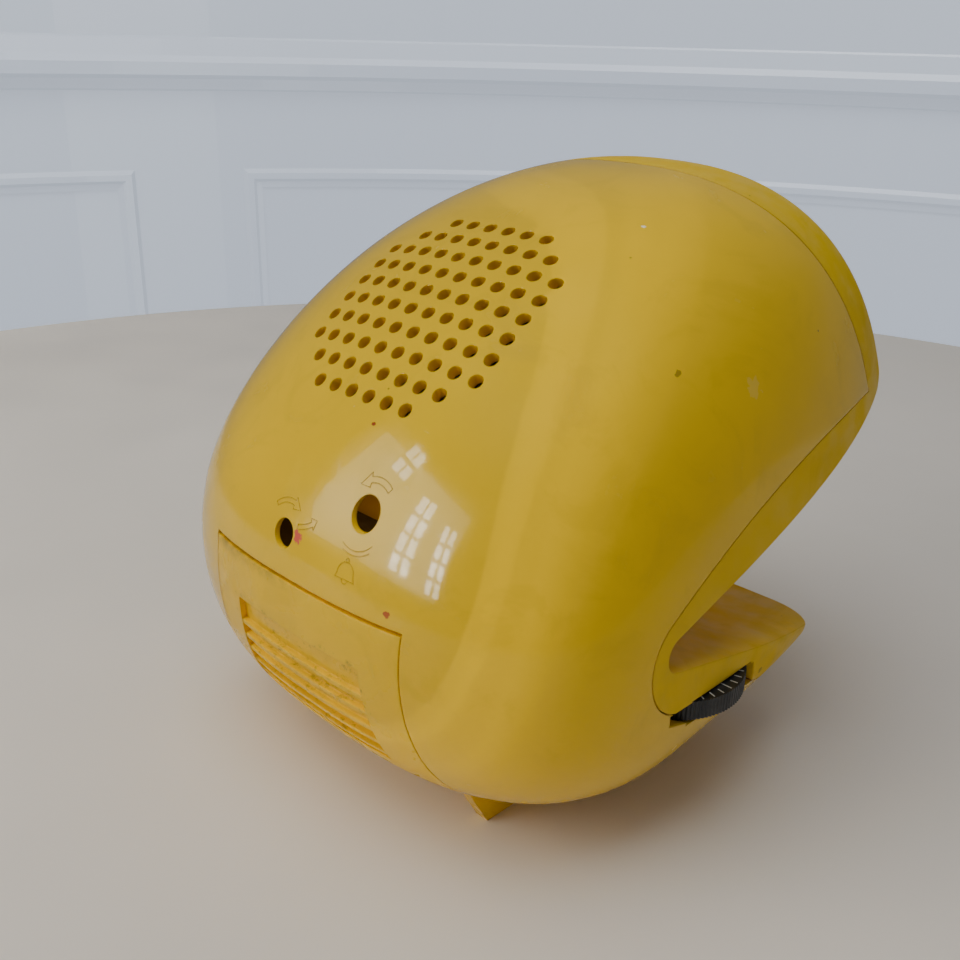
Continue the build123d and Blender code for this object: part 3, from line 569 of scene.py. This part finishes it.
# ---- scales on the thumbwheels -------------------------------------------------------------------
WHEEL_X, WHEEL_Y, WHEEL_TOP, WHEEL_R = 47.0, 8.8, 33.0, 16.3   # of the wheel at +X
RIM = 0.5                                                # from the wheel's edge to the ticks
TICKS, TICK_STEP, FIRST_TICK = 31, 8.8, 40               # a number, degrees, degrees
TICK_SHORT, TICK_LONG, TICK_WIDTH, TICK_DEPTH = 1.5, 2.4, 0.24, 0.10
LABEL_R, LABEL_SIZE, LABEL_TURN = 12.6, 2.0, 4           # turn: degrees past the tick it is for
paint = plain("scale_paint", (0.74, 0.72, 0.62), 0.55, drift=0.12, drift_scale=400)


def wheel_scale(side, body, labels):
    """Ticks and numbers printed on the top of a thumbwheel."""
    parts = []
    hub = Matrix.Translation((side * WHEEL_X, WHEEL_Y, WHEEL_TOP))
    for i in range(TICKS):
        length = TICK_LONG if i % 4 == 0 else TICK_SHORT
        parts.append((hub @ spun(i * TICK_STEP + FIRST_TICK),
                      *block(WHEEL_R - RIM - length, WHEEL_R - RIM, -TICK_WIDTH / 2, TICK_WIDTH / 2,
                             -TICK_DEPTH / 2, TICK_DEPTH / 2)))
    sweep = TICK_STEP * (TICKS - 1)
    for i, label in enumerate(labels):
        angle = FIRST_TICK + i * sweep / (len(labels) - 1) + LABEL_TURN
        place = hub @ spun(angle) @ Matrix.Translation((LABEL_R, 0, 0)) @ spun(-90)
        parts.append((place, *number_mesh(label, LABEL_SIZE, TICK_DEPTH)))
    new_piece(f"{body}_scale", *gather(parts), paint, body, "wheel_plastic")


wheel_scale(-1, "volume", "0123456789")
wheel_scale(1, "tuning", ("5", "6", "8", "10", "12", "16"))

# ---- clock face ----------------------------------------------------------------------------------
LEAN = math.radians(25)
# the dial's place: X across it, Y up it and Z out of it
FACE = Matrix.Translation((0, -56.7, 100.7)) @ Matrix(
    ((1, 0, 0), (0, math.sin(LEAN), -math.cos(LEAN)), (0, math.cos(LEAN), math.sin(LEAN)))).to_4x4()
DIAL_FRONT = -4.8                                        # along the face's axis
LIFT = 0.005                                             # clearance between the dial and what is on it
DISC_TOP = DIAL_FRONT + 0.14
DISC_HOLE_R, DISC_R = 2.55, 13.2
PRINT_DEPTH = 0.05
HOUR_R, HOUR_SIZE = 9.6, 2.9
LINES, FIRST_LINE, LINE_STEP, LINE_HEIGHT, LINE_WIDTH = 9, 16.5, 1.8, 17.0, 0.3
ivory = plain("dial_ivory", (0.76, 0.73, 0.62), 0.4, drift=0.05)
ink = plain("dial_ink", (0.02, 0.02, 0.02), 0.45, drift=0.1)


def dial_numbers():
    """Minute marks, longer and wider at the hours, and the hours' numbers."""
    parts = []
    for minute in range(60):
        half_width, inner = (0.22, 11.5) if minute % 5 == 0 else (0.09, 12.0)
        parts.append((FACE @ spun(-6 * minute),
                      *block(-half_width, half_width, inner, 12.8, DISC_TOP, DISC_TOP + PRINT_DEPTH)))
    for hour in range(1, 13):
        x, y = on_circle((0, 0), HOUR_R, 90 - 30 * hour)
        place = FACE @ Matrix.Translation((x, y, DISC_TOP + PRINT_DEPTH / 2))
        parts.append((place, *number_mesh(str(hour), HOUR_SIZE)))
    new_piece("dial_numbers", *gather(parts), ink, "case", "dial")


def dial_lines():
    """Fine upright lines either side of the disc."""
    parts = []
    for i in range(LINES):
        for side in (-1, 1):
            x = side * (FIRST_LINE + LINE_STEP * i)
            parts.append((FACE, *block(x - LINE_WIDTH / 2, x + LINE_WIDTH / 2, -LINE_HEIGHT / 2,
                                       LINE_HEIGHT / 2, DIAL_FRONT + LIFT, DIAL_FRONT + 0.06)))
    new_piece("dial_lines", *gather(parts), ivory, "case", "dial")


new_piece("dial_disc", *gather([(FACE, *ring(DISC_HOLE_R, DISC_R, DIAL_FRONT + LIFT, DISC_TOP))]),
          ivory, "case", "dial")
dial_numbers()
dial_lines()

# ---- stage: a round table in a round panelled room, in metres ------------------------------------
TABLE_R, WALL_R = 0.415, 1.0
FLOOR_Z, CEILING_Z = -0.6, 1.5
# the rail's section: out from the wall, height
RAIL = ((0, 0.090), (0.006, 0.092), (0.010, 0.102), (0.022, 0.106), (0.024, 0.118), (0.012, 0.124),
        (0.006, 0.140), (0, 0.142))
PANELS, PANEL_TURN, PANEL_GAP, PANEL_STEPS = 5, -26.4, 3.2, 24   # turn and gap in degrees
PANEL_TOP, PANEL_LOW = 0.012, -0.5
STAND_OFF = 0.0005                                       # from the wall to the moulding
# the moulding's section: in from the frame's edge, out from the wall
MOULDING = ((0, 0), (0.004, 0.007), (0.010, 0.007), (0.013, 0.003), (0.019, 0.002))


def staged(name, verts, faces, surface, lit=True):
    """A piece of the set, which isn't part of the object; unlit, it sheds no light on the object."""
    mesh = bpy.data.meshes.new(name)
    mesh.from_pydata([tuple(v) for v in verts], [], faces)
    mesh.materials.append(surface.mat)
    piece = in_scene(name, mesh)
    piece.visible_diffuse = lit
    piece.visible_glossy = lit


def revolved(profile, steps=128):
    """A surface of revolution about Z from (radius, height) points."""
    verts, faces = [], []
    for i in range(steps):
        a = 2 * math.pi * i / steps
        verts += [Vector((r * math.cos(a), r * math.sin(a), z)) for r, z in profile]
    count = len(profile)
    for i in range(steps):
        a, b = i * count, (i + 1) % steps * count
        faces += [(a + k, b + k, b + k + 1, a + k + 1) for k in range(count - 1)]
    return verts, faces


def panel_mouldings():
    """Frames of moulding on the wall, below its rail, each mitred at its corners."""
    verts, faces = [], []
    for i in range(PANELS):
        first = math.radians(PANEL_TURN + 360 / PANELS * i + PANEL_GAP)
        last = math.radians(PANEL_TURN + 360 / PANELS * (i + 1) - PANEL_GAP)
        sweep = last - first
        outline = [(first + sweep * j / PANEL_STEPS, PANEL_TOP) for j in range(PANEL_STEPS + 1)]
        outline += [(last - sweep * j / PANEL_STEPS, PANEL_LOW) for j in range(PANEL_STEPS + 1)]
        middle = ((first + last) / 2, (PANEL_TOP + PANEL_LOW) / 2)
        start, rows = len(verts), len(MOULDING)
        for angle, height in outline:
            around, along = math.copysign(1, middle[0] - angle), math.copysign(1, middle[1] - height)
            corner = min(abs(angle - first), abs(angle - last)) < 1e-6
            for step, out in MOULDING:
                a = angle + (around * step / WALL_R if corner else 0)
                radius = WALL_R - STAND_OFF - out
                verts.append(Vector((radius * math.cos(a), radius * math.sin(a), height + along * step)))
        for j in range(len(outline)):
            a, b = start + rows * j, start + rows * ((j + 1) % len(outline))
            faces += [(a + k, b + k, b + k + 1, a + k + 1) for k in range(rows - 1)]
    return verts, faces


table = plain("table_lacquer", (0.78, 0.71, 0.61), 0.6, drift=0.03, drift_scale=7, grain_scale=500)
staged("table", *revolved([(0.0001, 0), (0.1, 0), (0.25, 0), (TABLE_R, 0), (TABLE_R + 0.004, -0.002),
                           (TABLE_R + 0.006, -0.008), (TABLE_R + 0.004, -0.03)]), table)
wall = plain("wall_paint", (0.70, 0.75, 0.83), 0.55, drift=0.02, drift_scale=3, grain=0.05,
             grain_scale=160, Emission_Color=(0.72, 0.80, 0.93, 1.0), Emission_Strength=0.50)
staged("wall", *revolved([(TABLE_R - 0.05, FLOOR_Z), (WALL_R, FLOOR_Z),
                          *[(WALL_R - out, height) for out, height in RAIL],
                          (WALL_R, CEILING_Z)]), wall, lit=False)
staged("wall_moulding", *panel_mouldings(), wall, lit=False)

# ---- light ---------------------------------------------------------------------------------------
WATCHED = Vector((-0.01, 0.05, 0.07))                    # the place that the window's lights face
WINDOW_FAR = 1.6
PANE_GAP = 1.3                                           # the bar between two panes, in degrees


def area_light(name, place, target, size, power, colour, glossy=False):
    """A rectangular light that the camera doesn't see; glossy says whether reflections show it."""
    data = bpy.data.lights.new(name, "AREA")
    data.shape = "RECTANGLE"
    data.size, data.size_y = size
    data.energy = power
    data.color = colour
    lamp = in_scene(name, data)
    lamp.location = place
    lamp.rotation_euler = (Vector(target) - Vector(place)).to_track_quat("-Z", "Y").to_euler()
    lamp.visible_camera = False
    lamp.visible_glossy = glossy


def bearing(azimuth, elevation, distance):
    """A point seen from the rear of the object, azimuth from +Y towards +X, in degrees."""
    a, e = math.radians(azimuth), math.radians(elevation)
    way = Vector((math.sin(a) * math.cos(e), math.cos(a) * math.cos(e), math.sin(e)))
    return WATCHED + way * distance


def casement(name, azimuth, width, low, high, columns, rows, power):
    """Window panes that the glossy rear reflects: angles in degrees, power for each square metre."""
    tall, wide = (high - low) / rows, width / columns
    for i in range(columns):
        for j in range(rows):
            place = bearing(azimuth + (i - (columns - 1) / 2) * wide, low + (j + 0.5) * tall, WINDOW_FAR)
            size = [math.radians(span - PANE_GAP) * WINDOW_FAR for span in (wide, tall)]
            area_light(f"{name}_{i}{j}", place, WATCHED, size, power * size[0] * size[1],
                       (1.0, 0.98, 0.93), glossy=True)


def wall_glow():
    """The light that comes through the plastic, which shows in the speaker and setting holes."""
    data = bpy.data.lights.new("wall_glow", "POINT")
    data.energy = 0.005
    data.color = (1.0, 0.72, 0.35)
    data.shadow_soft_size = 0.004
    glow = in_scene("wall_glow", data)
    glow.location = (-0.002, 0.044, 0.066)
    glow.visible_glossy = False


def daylight(colour, strength):
    """Even light from all round."""
    world = bpy.data.worlds.new("studio")
    bpy.context.scene.world = world
    world.use_nodes = True
    background = world.node_tree.nodes["Background"]
    background.inputs["Color"].default_value = (*colour, 1)
    background.inputs["Strength"].default_value = strength


casement("casement_a", 22, 8, 5, 34, 2, 4, 120)
casement("casement_b", 8.5, 7, 3, 30, 2, 4, 120)
casement("casement_c", 38.5, 8, 31, 41, 2, 2, 90)
area_light("curtain", bearing(27, 20, 1.75), WATCHED, (1.35, 1.15), 24.0, (1.0, 0.97, 0.90), glossy=True)
area_light("key", bearing(30, 24, 1.5), WATCHED, (0.9, 0.9), 21.0, (1.0, 0.97, 0.92))
area_light("sky_fill", (0.1, 0.3, 1.25), (0, 0, 0.05), (1.1, 1.1), 9.0, (0.95, 0.97, 1.0))
area_light("front_fill", (0.45, -1.3, 0.75), (0, 0, 0.07), (0.9, 0.7), 8.0, (1.0, 0.98, 0.95))
wall_glow()
daylight((0.80, 0.87, 1.0), 0.22)
